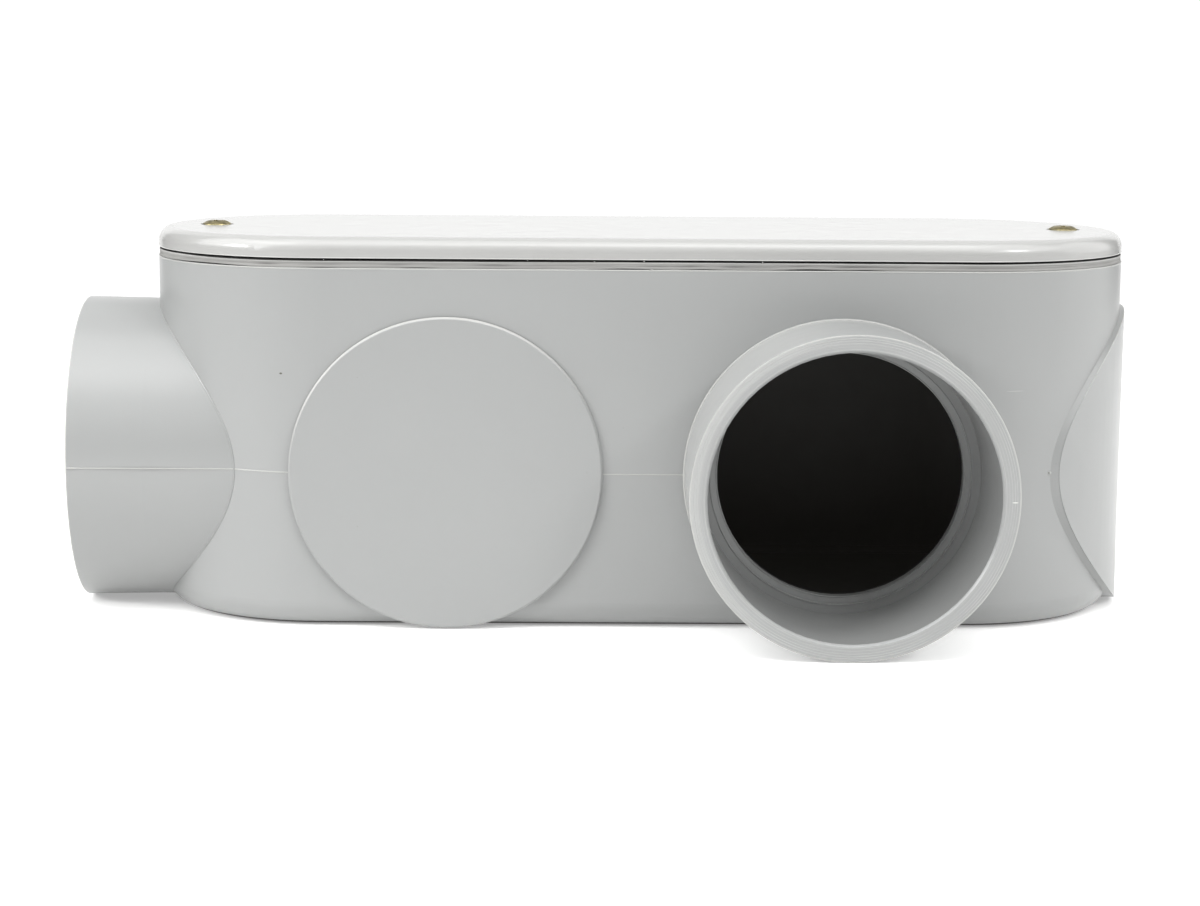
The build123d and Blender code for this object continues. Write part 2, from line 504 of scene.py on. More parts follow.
@dataclass(frozen=True)
class MouldedPvc:
    """Grey rigid PVC with the faint cloud, specks and glossy skin that moulding leaves, with
    painted shade and painted highlights where its masks put them.

    A ridge is a radius on a mouth face and a height. A ridge highlight pair is where the noise that
    picks the stretches of painted highlight on the ridges starts to show and where it is full.
    """

    name: str
    shade: Colour
    roughness: float
    refraction: float = 1.53
    coat: float = 0.0
    coat_roughness: float = 0.1
    cloud: float = 0.03
    cloud_mm: float = 38.0
    fine_share: float = 0.2
    fine_mm: float = 1.6
    gloss_spread: float = 0.08
    gloss_mm: float = 7.0
    grain_depth_mm: float = 0.012
    grain_mm: float = 0.45
    wave_depth_mm: float = 0.05
    wave_mm: float = 24.0
    speck_spacing_mm: float = 11.0
    speck_radius_mm: float = 0.16
    speck_strength: float = 0.55
    speck_shade: Colour = (0.1, 0.095, 0.085)
    ring_depth_mm: float = 0.05
    rings_per_mm: float = 3.1
    ring_roughness: float = 0.6
    ridges_mm: tuple[tuple[float, float], ...] = (
        (49.0, 0.07), (48.3, 0.06), (47.5, 0.05), (46.6, 0.03), (45.7, 0.05),
    )
    ridge_edge_mm: tuple[float, float] = (0.2, 0.02)
    ridge_highlight_shade: Colour = (0.44, 0.445, 0.435)
    highlight_per_mm: float = 6.0
    highlight_stretch_mm: float = 19.0
    ridge_highlight: tuple[float, float] = (0.3, 0.62)
    least_ridge_highlight: float = 0.3
    bore_painted_shade: Colour = (0.241, 0.2455, 0.243)
    arc_highlight_shade: Colour = (0.41, 0.41, 0.40)
    barrel_highlight_shade: Colour = (0.333, 0.337, 0.332)
    hubs: tuple[HubZones, ...] = ()
    marks: tuple[Mark, ...] = ()
    highlight_arcs: tuple[HighlightArc, ...] = ()
    barrel_highlights: tuple[tuple[HubZones, HighlightArc], ...] = ()
    interior_shade: InteriorShade | None = None
    gap_shade: GapShade | None = None
    crevice_roughness: float = 0.6

    def material(self) -> bpy.types.Material:
        """Builds the material.

        Colour is the shade times one plus cloud noise, with rare dark specks, then painted shade
        and painted highlights where the masks put them. Height is a long wave, a fine grain, and on
        each hub face rings that depend on the distance from its axis.

        Returns:
            The material.
        """
        made, board = new_board(self.name)
        cloud = board.noise(self.cloud_mm, detail=3.0)
        fine = board.noise(self.fine_mm, detail=2.0)
        mottle = cloud * (1 - self.fine_share) + fine * self.fine_share
        colour = board.blend(mottle, *either_side(self.shade, self.cloud))
        specks = board.specks(self.speck_spacing_mm, self.speck_radius_mm) * self.speck_strength
        colour = board.blend(specks, colour, self.speck_shade)

        height = board.noise(self.wave_mm, detail=1.0) * self.wave_depth_mm
        height = height + board.noise(self.grain_mm, detail=2.0) * self.grain_depth_mm
        gloss = board.noise(self.gloss_mm, detail=3.0) * self.gloss_spread
        roughness = gloss + (self.roughness - self.gloss_spread / 2)
        axes = board.axes()
        for hub in self.hubs:
            # Painted shade on the socket's wall and on what lies behind it
            colour = board.blend(hub.bore(axes), colour, self.bore_painted_shade)
            rise, ridge_highlight = self._rings(board, hub, axes)
            height = height + rise
            # Painted highlight on the ridges of the mouth face
            colour = board.blend(ridge_highlight, colour, self.ridge_highlight_shade)
        for mark in self.marks:
            colour = board.blend(mark.mask(axes), colour, mark.shade)
        # Painted highlight on the side of the side hub's barrel that faces the light
        for hub, arc in self.barrel_highlights:
            barrel_highlight = hub.barrel(axes) * arc.mask(axes)
            colour = board.blend(barrel_highlight, colour, self.barrel_highlight_shade)
        # Painted highlights on the lit sides of the blanks' round edges
        for arc in self.highlight_arcs:
            colour = board.blend(arc.mask(axes), colour, self.arc_highlight_shade)
        inputs: dict[str, Any] = {"IOR": self.refraction, "Normal": board.bump(height, 1.0)}
        inputs["Coat Weight"] = self.coat
        inputs["Coat Roughness"] = self.coat_roughness
        # Painted shade over the inside of the shell, outside the sockets' way in, and a faint even
        # painted glow there, though nothing inside is a lamp
        if self.interior_shade:
            inside = self.interior_shade.mask(axes)
            for hub in self.hubs:
                inside = inside * (1 - hub.way_in(axes))
            colour = board.blend(inside, colour, self.interior_shade.shade)
            roughness = roughness + inside * self.interior_shade.extra_roughness
            inputs["Emission Color"] = board.blend(inside, (0.0, 0.0, 0.0), self.interior_shade.painted_glow)
            inputs["Emission Strength"] = 1.0
        # Painted shade in the gap under the cover's skirt, which is also made rougher
        if self.gap_shade:
            inside = self.gap_shade.mask(axes)
            colour = board.blend(inside, colour, self.gap_shade.shade)
            roughness = roughness + inside * self.crevice_roughness
        board.finish({"Base Color": colour, "Roughness": roughness, **inputs})
        return made

    def _rings(self, board: Board, hub: HubZones, axes: Axes) -> tuple[Wire, Wire]:
        """Turned rings on a mouth face.

        The height is noise on the radius alone plus a few sharp ridges, and the ridges carry a
        painted highlight in stretches that another noise picks.

        Args:
            board: The board of the material.
            hub: The hub whose mouth face it is.
            axes: The Object coordinates in millimetres.

        Returns:
            The height in millimetres, and how strong the painted highlight on the ridges is.
        """
        radius = hub.radius(axes)
        turns = radius * self.rings_per_mm
        inputs = {"W": turns, "Scale": 1.0, "Detail": 3.0, "Roughness": self.ring_roughness}
        streak = board.node("ShaderNodeTexNoise", {"noise_dimensions": "1D"}, inputs)[0]
        height = streak * self.ring_depth_mm
        ridge_highlight = radius * 0.0
        for place, depth in self.ridges_mm:
            ridge = radius.distance_to(place).step(*self.ridge_edge_mm)
            height = height + ridge * depth
            ridge_highlight = ridge_highlight + ridge * (depth * self.highlight_per_mm)
        stretches = board.noise(self.highlight_stretch_mm, detail=2.0).step(*self.ridge_highlight)
        ridge_highlight = ridge_highlight * (stretches * (1 - self.least_ridge_highlight) + self.least_ridge_highlight)
        face = hub.face(axes)
        return height * face, ridge_highlight * face


@dataclass(frozen=True)
class CellularRubber:
    """Grey gasket rubber with cut lines that run along its edge, painted shade on its faces, and a
    painted highlight on its cut edge's upper corner.
    """

    name: str
    face_shade: GapShade
    lip_mm: float
    shade: Colour = (0.225, 0.224, 0.215)
    lip_highlight_shade: Colour = (0.36, 0.36, 0.35)
    lip_depth_mm: tuple[float, float] = (0.62, 0.42)
    lip_strength: float = 0.5
    lip_streaks: float = 0.6
    spread: float = 0.16
    refraction: float = 1.5
    roughness: float = 0.68
    cell_roughness: float = 0.1
    streak_mm: float = 0.32
    streak_ramp: tuple[float, float] = (0.25, 0.75)
    streak_stretch: Triple = (110.0, 110.0, 1.0)
    streak_depth_mm: float = 0.05
    cell_mm: float = 0.35
    cell_depth_mm: float = 0.03

    def material(self) -> bpy.types.Material:
        """Builds the material: streaks are noise a hundred times longer in plan than in height.

        The cut edge is paler near its upper corner: a painted highlight where that corner catches
        the light.

        Returns:
            The material.
        """
        made, board = new_board(self.name)
        streaks = board.noise(self.streak_mm, self.streak_stretch, detail=2.0)
        cells = board.noise(self.cell_mm, detail=3.0)
        ramp = streaks.step(*self.streak_ramp)
        colour = board.blend(ramp, *either_side(self.shade, self.spread))
        axes = board.axes()
        start, full = self.lip_depth_mm
        # Painted highlight along the upper corner of the cut edge
        lip = axes[2].step(self.lip_mm - start, self.lip_mm - full)
        lip = lip * (streaks * self.lip_streaks + self.lip_strength)
        colour = board.blend(lip, colour, self.lip_highlight_shade)
        # Painted shade on the faces in from the cut edge
        colour = board.blend(self.face_shade.mask(axes), colour, self.face_shade.shade)
        height = streaks * self.streak_depth_mm + cells * self.cell_depth_mm
        board.finish(
            {
                "Base Color": colour,
                "Roughness": cells * self.cell_roughness + self.roughness,
                "IOR": self.refraction,
                "Normal": board.bump(height, 1.0),
            }
        )
        return made


@dataclass(frozen=True)
class DullBrass:
    """Screw brass, yellow where it is clean and olive where it has dulled."""

    name: str
    bright: Colour = (0.35, 0.30, 0.16)
    dull: Colour = (0.16, 0.14, 0.075)
    roughness: float = 0.22
    patch_roughness: float = 0.2
    fine_roughness: float = 0.1
    patch_ramp: tuple[float, float] = (0.3, 0.7)
    patch_mm: float = 1.7
    fine_mm: float = 0.18
    fine_depth_mm: float = 0.015

    def material(self) -> bpy.types.Material:
        """Builds the material: patches of tarnish set the colour and the roughness together.

        Returns:
            The material.
        """
        made, board = new_board(self.name)
        patches = board.noise(self.patch_mm, detail=4.0).step(*self.patch_ramp)
        fine = board.noise(self.fine_mm, detail=2.0)
        extra = patches * self.patch_roughness + fine * self.fine_roughness
        board.finish(
            {
                "Base Color": board.blend(patches, self.bright, self.dull),
                "Metallic": 1.0,
                "Roughness": extra + self.roughness,
                "Normal": board.bump(fine, self.fine_depth_mm),
            }
        )
        return made


@dataclass(frozen=True)
class StudioPaper:
    """The plain pale floor: matte white with a trace of tooth."""

    glow: float
    name: str = "studio_paper"
    shade: Colour = (0.78, 0.78, 0.775)
    tooth: float = 0.01
    tooth_mm: float = 3.0
    roughness: float = 0.9
    refraction: float = 1.3

    def material(self) -> bpy.types.Material:
        """Builds the material.

        Returns:
            The material.
        """
        made, board = new_board(self.name)
        tooth = board.noise(self.tooth_mm, detail=2.0)
        dark = tuple(c * (1 - self.tooth) for c in self.shade)
        board.finish(
            {
                "Base Color": board.blend(tooth, dark, self.shade),
                "Roughness": self.roughness,
                "IOR": self.refraction,
                "Emission Color": (1.0, 1.0, 1.0, 1.0),
                "Emission Strength": self.glow,
            }
        )
        return made


# Meshes from surfaces

BEAD_SIDES = 10
RING_POINTS = 240
OUTLINE_POINTS = 900


class Seed(IntEnum):
    """The seeds of the uneven lines."""

    RIM = 5
    SKIRT = 9
    WALL_LINES = 11
    HUB_LINES = 31
    GASKET_SWELL = 71
    GASKET_TOP = 72


class Patchwork:
    """Collects surfaces given as grids of points and joins them into one mesh."""

    def __init__(self) -> None:
        """Starts empty."""
        self.points: list[Array] = []
        self.quads: list[Array] = []
        self.caps: list[Array] = []
        self.count = 0

    def add(self, grid: Array, closed: tuple[bool, bool], cap_ends: bool = False) -> None:
        """Adds one surface.

        A quad joins each point with the next in both directions, past the last one round to the
        first where that direction is closed. Faces are turned round where that is what makes the
        volume inside them positive, so every closed surface faces outwards.

        Args:
            grid: Points in millimetres, as rows by columns by three.
            closed: Whether the rows and the columns run round.
            cap_ends: Whether the first and last rows are filled with a face.
        """
        rows, columns = grid.shape[:2]
        index = self.count + np.arange(rows * columns).reshape(rows, columns)
        down = np.roll(index, -1, axis=0) if closed[0] else index[1:]
        here = index if closed[0] else index[:-1]
        if closed[1]:
            quads = (here, down, np.roll(down, -1, axis=1), np.roll(here, -1, axis=1))
        else:
            quads = (here[:, :-1], down[:, :-1], down[:, 1:], here[:, 1:])
        points = grid.reshape(-1, 3)
        faces = np.stack([q.ravel() for q in quads], axis=1)
        turn = slice(None, None, -1 if self._volume(points, faces - self.count) < 0 else 1)
        self.points.append(points)
        self.quads.append(faces[:, turn])
        if cap_ends:
            self.caps += [index[0][turn], index[-1][::-1][turn]]
        self.count += rows * columns

    @staticmethod
    def _volume(points: Array, quads: Array) -> float:
        """Six times the volume that quads enclose: their halves' triple products, added up."""
        a, b, c, d = (points[quads[:, n]] - points.mean(axis=0) for n in range(4))
        return float((a * (np.cross(b, c) + np.cross(c, d))).sum())

    def build(self, name: str, material: bpy.types.Material) -> bpy.types.Object:
        """Makes the object.

        Args:
            name: The object's name.
            material: Its material.

        Returns:
            An object at the origin, in metres, shaded smooth but for its sharp edges.
        """
        mesh = bpy.data.meshes.new(name)
        faces = np.concatenate(self.quads).tolist() + [cap.tolist() for cap in self.caps]
        mesh.from_pydata(np.concatenate(self.points) * MM, [], faces)
        mesh.validate()
        mesh.polygons.foreach_set("use_smooth", np.ones(len(mesh.polygons), dtype=bool))
        mesh.set_sharp_from_angle(angle=SMOOTH_EDGE)
        mesh.materials.append(material)
        mesh.update()
        made = bpy.data.objects.new(name, mesh)
        bpy.context.scene.collection.objects.link(made)
        return made


def wander(count: int, seed: int, waves: int = 9) -> Array:
    """A smooth random line from -1 to 1 that closes on itself.

    It is a sum of sines of whole frequencies with random phases, each weaker as it gets finer.

    Args:
        count: How many values.
        seed: The seed of the phases.
        waves: How many sines.

    Returns:
        The values.
    """
    rng = np.random.default_rng(seed)
    turn = np.linspace(0, TAU, count, endpoint=False)[:, None]
    order = np.arange(1, waves + 1) * 3 + rng.integers(0, 3, waves)
    weight = 1 / np.sqrt(np.arange(1, waves + 1))
    total = (weight * np.sin(order * turn + rng.uniform(0, TAU, waves))).sum(axis=1)
    return total / np.abs(total).max()


def bead(
    path: Array, out: Array, across: Array, half_width: float | Array, height: Array
) -> Array:
    """A thin closed bead whose middle lies on a surface.

    Its section is an ellipse: path plus across times half width times cosine, plus out times height
    times sine, so half of it stands proud and half is sunk.

    Args:
        path: The points along it.
        out: The surface's normals there.
        across: The directions across the bead there.
        half_width: Half its width, the same all along it or at each point.
        height: How far it stands proud at each point.

    Returns:
        The grid of points, rows along the path.
    """
    angle = np.linspace(0, TAU, BEAD_SIDES, endpoint=False)[None, :, None]
    side = np.reshape(half_width, (-1, 1, 1)) * np.cos(angle) * across[:, None, :]
    rise = height[:, None, None] * np.sin(angle) * out[:, None, :]
    return path[:, None, :] + side + rise


def unit(vectors: Array) -> Array:
    """Each vector over its length."""
    return vectors / np.linalg.norm(vectors, axis=1)[:, None]


def ball(centre: Array, radii: Array) -> Array:
    """A squashed ball: centre plus radii times the unit sphere, small rings at its poles.

    Args:
        centre: Its centre.
        radii: Its radii along the three axes.

    Returns:
        The grid of points.
    """
    pole, rows, columns = 0.05, 9, 14
    tilt = np.linspace(pole, math.pi - pole, rows)[:, None]
    turn = np.linspace(0, TAU, columns, endpoint=False)[None, :]
    x, y = np.sin(tilt) * np.cos(turn), np.sin(tilt) * np.sin(turn)
    return centre + np.stack([x, y, np.cos(tilt) + 0 * turn], axis=2) * radii


def bulges(points: Array, stretches: tuple[Triple, ...]) -> Array:
    """A sum of raised cosines of the distance along X, on the front of a ring only.

    Args:
        points: The points of the ring.
        stretches: The middle, half length and height of each.

    Returns:
        The height at each point.
    """
    x, y = points[:, 0], points[:, 1]
    total = np.zeros(len(x))
    for centre, half, rise in stretches:
        away = np.minimum(np.abs(x - centre) / half, 1)
        total += np.where(y < 0, rise * (0.5 + 0.5 * np.cos(math.pi * away)), 0)
    return total


def dress(node: bpy.types.Object, material: bpy.types.Material) -> None:
    """Gives a CAD node its material in place of the plain one."""
    node.data.materials.clear()
    node.data.materials.append(material)


@dataclass(frozen=True)
class BodyPlan:
    """The plan of the housing, worked out from the frame."""

    half_length: float
    half_width: float
    rim_height: float
    gasket_top: float
    axis_height: float
    side_hub_x: float
    side_mouth_y: float
    end_mouth_x: float
    parting_growth: float = 0.114
    pad_radius: float = 49.7
    pad_proud: float = 1.45
    end_pad_proud: float = 1.6
    end_pad_hollow: float = 0.15
    root_radius: float = 49.8
    mouth_radius: float = 50.2

    @classmethod
    def from_frame(cls) -> "BodyPlan":
        """Reads the boxes of the nodes and the places of the mounts.

        Returns:
            The plan.
        """
        mounts = {m["name"]: m for m in frame["record"]["mounts"]}
        cover_low, cover_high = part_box("cover")
        body_low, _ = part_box("body")
        return cls(
            half_length=cover_high.x / MM,
            half_width=cover_high.y / MM,
            rim_height=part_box("gasket")[0].z / MM,
            gasket_top=cover_low.z / MM,
            axis_height=mounts[Hub.END.value]["pos_m"][2] / MM,
            side_hub_x=mounts[Hub.SIDE.value]["pos_m"][0] / MM,
            side_mouth_y=body_low.y / MM,
            end_mouth_x=body_low.x / MM,
        )

    @property
    def end_centre(self) -> float:
        """How far the centre of each rounded end is from the middle."""
        return self.half_length - self.half_width

    def outline(self, along: Array, wall: Wall, growth: float) -> tuple[Array, Array]:
        """Points on the plan's outline by the distance walked along one long wall.

        Up to the end centre a point lies on the straight wall. Beyond it, the distance over the
        radius is the angle that it has gone round the end.

        Args:
            along: Distances from the middle of the wall, negative towards -X.
            wall: Which wall.
            growth: How far outside the rim's outline.

        Returns:
            The points and the normals, each with a height of 0.
        """
        radius = self.half_width + growth
        angle = np.maximum(np.abs(along) - self.end_centre, 0) / radius
        straight = np.clip(along, -self.end_centre, self.end_centre)
        nx = np.sin(angle) * np.sign(along)
        ny = np.cos(angle) * wall.value
        normals = np.stack([nx, ny, np.zeros_like(nx)], axis=1)
        centres = np.stack([straight, np.zeros_like(nx), np.zeros_like(nx)], axis=1)
        return centres + normals * radius, normals

    def lip(self, hub: Hub, radius: float, along: float, size: float) -> Array:
        """A thin ring of round section about a hub's axis.

        Its middle line is the hub's axis plus the radius in the direction of an angle across the
        hub, and its section is a circle in the plane of that direction and of the axis.

        Args:
            hub: Which hub.
            radius: The radius of the middle line.
            along: Where the middle line is along the axis.
            size: The radius of the section.

        Returns:
            The grid of points, rows round the ring.
        """
        angle = np.linspace(0, TAU, RING_POINTS, endpoint=False)
        cos, sin, flat = np.cos(angle), np.sin(angle), np.zeros(RING_POINTS)
        if hub is Hub.END:
            out = np.stack([flat, cos, sin], axis=1)
            centre, axis = np.array([along, 0.0, self.axis_height]), (1.0, 0.0, 0.0)
        else:
            out = np.stack([-cos, flat, sin], axis=1)
            centre, axis = np.array([self.side_hub_x, along, self.axis_height]), (0.0, 1.0, 0.0)
        across = np.tile(axis, (RING_POINTS, 1))
        return bead(centre + out * radius, out, across, size, flat + size)

    def ring(self, count: int, growth: float) -> tuple[Array, Array]:
        """The whole outline, as points and normals at even distances round it.

        Args:
            count: How many points.
            growth: How far outside the rim's outline.

        Returns:
            The points and the normals, each with a height of 0.
        """
        radius = self.half_width + growth
        quarter = self.end_centre + radius * TAU / 4
        walked = np.linspace(-quarter, 3 * quarter, count, endpoint=False)
        front = walked < quarter
        along = np.where(front, walked, 2 * quarter - walked)
        ahead, behind = (self.outline(along, wall, growth) for wall in Wall)
        pick = front[:, None]
        return np.where(pick, ahead[0], behind[0]), np.where(pick, ahead[1], behind[1])


# The sub-assemblies


@dataclass
class Housing:
    """The moulded housing: its CAD node, and the marks that the mould leaves on it.

    A lip on an inner edge is given by its radius, its depth behind the mouth and its size: on the
    stop ring, on the throat and round the root of the side hub. What is set in or back or touches
    is so many of its own radii from the edge or face that it belongs to.
    """

    plan: BodyPlan
    finish: MouldedPvc
    flash_finish: MouldedPvc
    pad_highlight_finish: MouldedPvc
    bead_half_width: float = 0.22
    bead_height: float = 0.13
    bead_wander: float = 0.22
    bead_end: float = 1.5
    least_bead: float = 0.001
    faint_share: float = 0.8
    bead_step: float = 0.4
    hub_bead_step: float = 0.5
    hub_bead_points: int = 90
    hub_bead_hidden: float = 1.26
    edge_radius: float = 0.26
    edge_set_in: float = 0.6
    edge_wander: float = 0.1
    mouth_lip: float = 0.32
    lip_set_in: float = 1.05
    lip_set_back: float = 1.1
    inner_lips: tuple[Triple, ...] = ((41.75, 44.4, 0.22), (39.5, 46.8, 0.24))
    root_lip: Triple = (49.82, 44.75, 0.44)
    pad_round: float = 1.06
    pad_cover: float = 0.31
    pad_touch: float = 1.01
    pad_lip: float = 0.2
    pad_lip_set_in: float = 0.7
    seam_points: int = 200
    seam_reach: float = 138.0
    seam_size: float = 0.3
    seam_lift: float = 0.06
    seam_taper: int = 12
    least_seam: float = 0.02
    wall_draft: float = 0.9
    mouth_nub: Triple = (1.9, 0.28, 0.3)
    mouth_nub_back: float = 2.2
    root_nub: Triple = (0.5, 0.5, 0.45)
    root_nub_off: Triple = (0.1, -0.3, 0.2)

    def build(self) -> list[bpy.types.Object]:
        """Dresses the node and makes the marks.

        Returns:
            The new pieces.
        """
        material = self.finish.material()
        # Paler as scraped flash on the parting lines and nubs, and as a painted highlight on the
        # rim edge and the mouths' lips
        flash = self.flash_finish.material()
        dress(frame["nodes"]["body"], material)
        made = [
            self.wall_lines(flash),
            self.hub_lines(flash),
            self.rim_edge(flash),
            self.mouth_lips(flash),
            self.hub_lips(material),
            # The blanks' edges carry painted highlights on their lit sides
            self.pad_lips(self.pad_highlight_finish.material()),
            self.end_seam(material),
            self.nubs(flash),
        ]
        for piece in made:
            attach(piece, "housing")
        return made

    def _heights(self, count: int, step: float, seed: int) -> Array:
        """Bead heights: uneven along the bead and falling to nothing over its two ends.

        Args:
            count: How many points.
            step: The distance between them.
            seed: The seed of the unevenness.

        Returns:
            The height at each point.
        """
        walked = np.arange(count) * step
        ends = np.minimum(walked, walked[::-1]) / self.bead_end
        rise = self.bead_height * np.sqrt(np.clip(ends, self.least_bead, 1))
        return rise * (1 + self.bead_wander * wander(count, seed))

    def wall_lines(self, material: bpy.types.Material) -> bpy.types.Object:
        """The parting line on the walls, in the runs between hubs and blanks.

        Args:
            material: Its material.

        Returns:
            The piece.
        """
        plan = self.plan
        saddle = plan.end_centre + plan.half_width * math.acos(plan.root_radius / plan.half_width)
        near, far = plan.side_hub_x - plan.pad_radius, plan.side_hub_x + plan.pad_radius
        runs = [(-saddle, -far, 1.0), (-near, near, self.faint_share)]
        patches = Patchwork()
        for wall in Wall:
            for number, (start, stop, size) in enumerate(runs):
                count = int((stop - start) / self.bead_step) + 2
                along = np.linspace(start, stop, count)
                points, normals = plan.outline(along, wall, plan.parting_growth)
                points[:, 2] = plan.axis_height
                across = np.tile([0.0, 0.0, -wall.value], (count, 1))
                heights = self._heights(count, self.bead_step, Seed.WALL_LINES + number) * size
                grid = bead(points, normals, across, self.bead_half_width * size, heights)
                patches.add(grid, (False, True), cap_ends=True)
        return patches.build("parting_line_walls", material)

    def hub_lines(self, material: bpy.types.Material) -> bpy.types.Object:
        """The parting line along both sides of each barrel, on its flared wall.

        The end hub's lines start inside the shell, so that they come out of its rounded end.

        Args:
            material: Its material.

        Returns:
            The piece.
        """
        plan = self.plan
        patches = Patchwork()
        count = self.hub_bead_points
        share = np.linspace(0, 1, count)
        radius = plan.root_radius + (plan.mouth_radius - plan.root_radius) * share
        flat = np.zeros(count)
        level = flat + plan.axis_height
        hidden = plan.end_centre * self.hub_bead_hidden
        end_x = -hidden + (plan.end_mouth_x + 0.5 + hidden) * share
        root_y = -plan.half_width - plan.pad_proud
        side_y = root_y + (plan.side_mouth_y + 0.5 - root_y) * share
        for side in (-1.0, 1.0):
            end_path = np.stack([end_x, side * radius, level], axis=1)
            side_path = np.stack([plan.side_hub_x + side * radius, side_y, level], axis=1)
            for path, out in ((end_path, (0, side, 0)), (side_path, (side, 0, 0))):
                outs = np.tile(np.array(out, float), (count, 1))
                across = np.cross(unit(np.gradient(path, axis=0)), outs)
                heights = self._heights(count, self.hub_bead_step, Seed.HUB_LINES + int(side))
                grid = bead(path, outs, across, self.bead_half_width, heights)
                patches.add(grid, (False, True), cap_ends=True)
        return patches.build("parting_line_hubs", material)

    def rim_edge(self, material: bpy.types.Material) -> bpy.types.Object:
        """The soft outer edge of the rim: a round bead just under its top face.

        Args:
            material: Its material.

        Returns:
            The piece.
        """
        count = OUTLINE_POINTS
        points, normals = self.plan.ring(count, -self.edge_radius * self.edge_set_in)
        points[:, 2] = self.plan.rim_height - self.edge_radius
        across = np.tile([0.0, 0.0, 1.0], (count, 1))
        heights = self.edge_radius * (1 + self.edge_wander * wander(count, Seed.RIM))
        patches = Patchwork()
        patches.add(bead(points, normals, across, self.edge_radius, heights), (True, True))
        return patches.build("rim_edge", material)

    def hub_lips(self, material: bpy.types.Material) -> bpy.types.Object:
        """Round lips on the circular edges inside both hubs.

        Args:
            material: Its material.

        Returns:
            The piece.
        """
        plan = self.plan
        patches = Patchwork()
        for hub, mouth in ((Hub.END, plan.end_mouth_x), (Hub.SIDE, plan.side_mouth_y)):
            for radius, depth, size in self.inner_lips:
                patches.add(plan.lip(hub, radius, mouth + depth, size), (True, True))
        return patches.build("hub_lips", material)

    def mouth_lips(self, material: bpy.types.Material) -> bpy.types.Object:
        """Round lips on the outer edges of both mouths and on the ring at the side hub's root.

        Args:
            material: Its material.

        Returns:
            The piece.
        """
        plan, size = self.plan, self.mouth_lip
        patches = Patchwork()
        radius, back = plan.mouth_radius - self.lip_set_in * size, size * self.lip_set_back
        for hub, mouth in ((Hub.END, plan.end_mouth_x), (Hub.SIDE, plan.side_mouth_y)):
            patches.add(plan.lip(hub, radius, mouth + back, size), (True, True))
        radius, depth, size = self.root_lip
        patches.add(plan.lip(Hub.SIDE, radius, plan.side_mouth_y + depth, size), (True, True))
        return patches.build("mouth_lips", material)

    def pad_lips(self, material: bpy.types.Material) -> bpy.types.Object:
        """The rounded edges of the flat blanks, and a fine lip on the blank on the rounded end.

        A flat blank's edge is a ring of round section that touches its face and covers its chamfer.
        Round the curved blank, y and z lie on its circle, and x is where a point that far out lies
        on its face, whose radius falls a little towards its middle.

        Args:
            material: Its material.

        Returns:
            The piece.
        """
        plan, size = self.plan, self.pad_round
        patches = Patchwork()
        face = plan.half_width + plan.parting_growth + plan.pad_proud
        radius = plan.pad_radius + self.pad_cover - size
        angle = np.linspace(0, TAU, RING_POINTS, endpoint=False)
        cos, sin, flat = np.cos(angle), np.sin(angle), np.zeros(RING_POINTS)
        axis = np.tile([0.0, 1.0, 0.0], (RING_POINTS, 1))
        for wall, side in ((Wall.FRONT, -1), (Wall.BACK, -1), (Wall.BACK, 1)):
            out = np.stack([-wall.value * cos, flat, sin], axis=1)
            depth = wall.value * (face - self.pad_touch * size)
            centre = np.array([side * plan.side_hub_x, depth, plan.axis_height])
            patches.add(bead(centre + out * radius, out, axis, size, flat + size), (True, True))
        size = self.pad_lip
        radius = plan.pad_radius - self.pad_lip_set_in * size
        y, z = radius * sin, radius * cos
        reach = plan.half_width + plan.parting_growth + plan.end_pad_proud
        reach = reach - size * self.lip_set_back
        reach = reach - plan.end_pad_hollow * (1 - (z / plan.mouth_radius) ** 2)
        past = np.sqrt(reach**2 - y**2)
        path = np.stack([plan.end_centre + past, y, plan.axis_height + z], axis=1)
        out = np.stack([flat, sin, cos], axis=1)
        axis = np.stack([past, y, flat], axis=1) / reach[:, None]
        patches.add(bead(path, out, axis, size, flat + size), (True, True))
        return patches.build("pad_lips", material)

    def end_seam(self, material: bpy.types.Material) -> bpy.types.Object:
        """The small round seam where the end barrel meets the rounded end of the shell.

        At an angle round the barrel, y and z lie on the barrel, and x is where a point that far out
        lies on the end's circle, which is smaller below the middle by the wall's draft. The bead
        leaves out the bottom and tapers at both ends.

        Args:
            material: Its material.

        Returns:
            The piece.
        """
        plan, count = self.plan, self.seam_points
        angle = np.linspace(math.radians(-self.seam_reach), math.radians(self.seam_reach), count)
        y = plan.root_radius * np.sin(angle)
        z = plan.axis_height + plan.root_radius * np.cos(angle)
        drop = np.maximum(plan.axis_height - z, 0) * math.tan(math.radians(self.wall_draft))
        half = plan.half_width + plan.parting_growth - drop
        x = -plan.end_centre - np.sqrt(np.maximum(half**2 - y**2, 0))
        path = np.stack([x, y, z], axis=1)
        radial = np.stack([0 * x, np.sin(angle), np.cos(angle)], axis=1)
        shell = np.stack([x + plan.end_centre, y, 0 * x], axis=1)
        out = unit(radial + unit(shell))
        across = np.cross(unit(np.gradient(path, axis=0)), out)
        place = np.arange(count)
        ends = np.clip(np.minimum(place, place[::-1]) / self.seam_taper, self.least_seam, 1)
        size = self.seam_size * np.sqrt(ends)
        path = path + np.array([0.0, 0.0, self.seam_lift])
        patches = Patchwork()
        patches.add(bead(path, out, across, size, size), (False, True), cap_ends=True)
        return patches.build("end_seam", material)

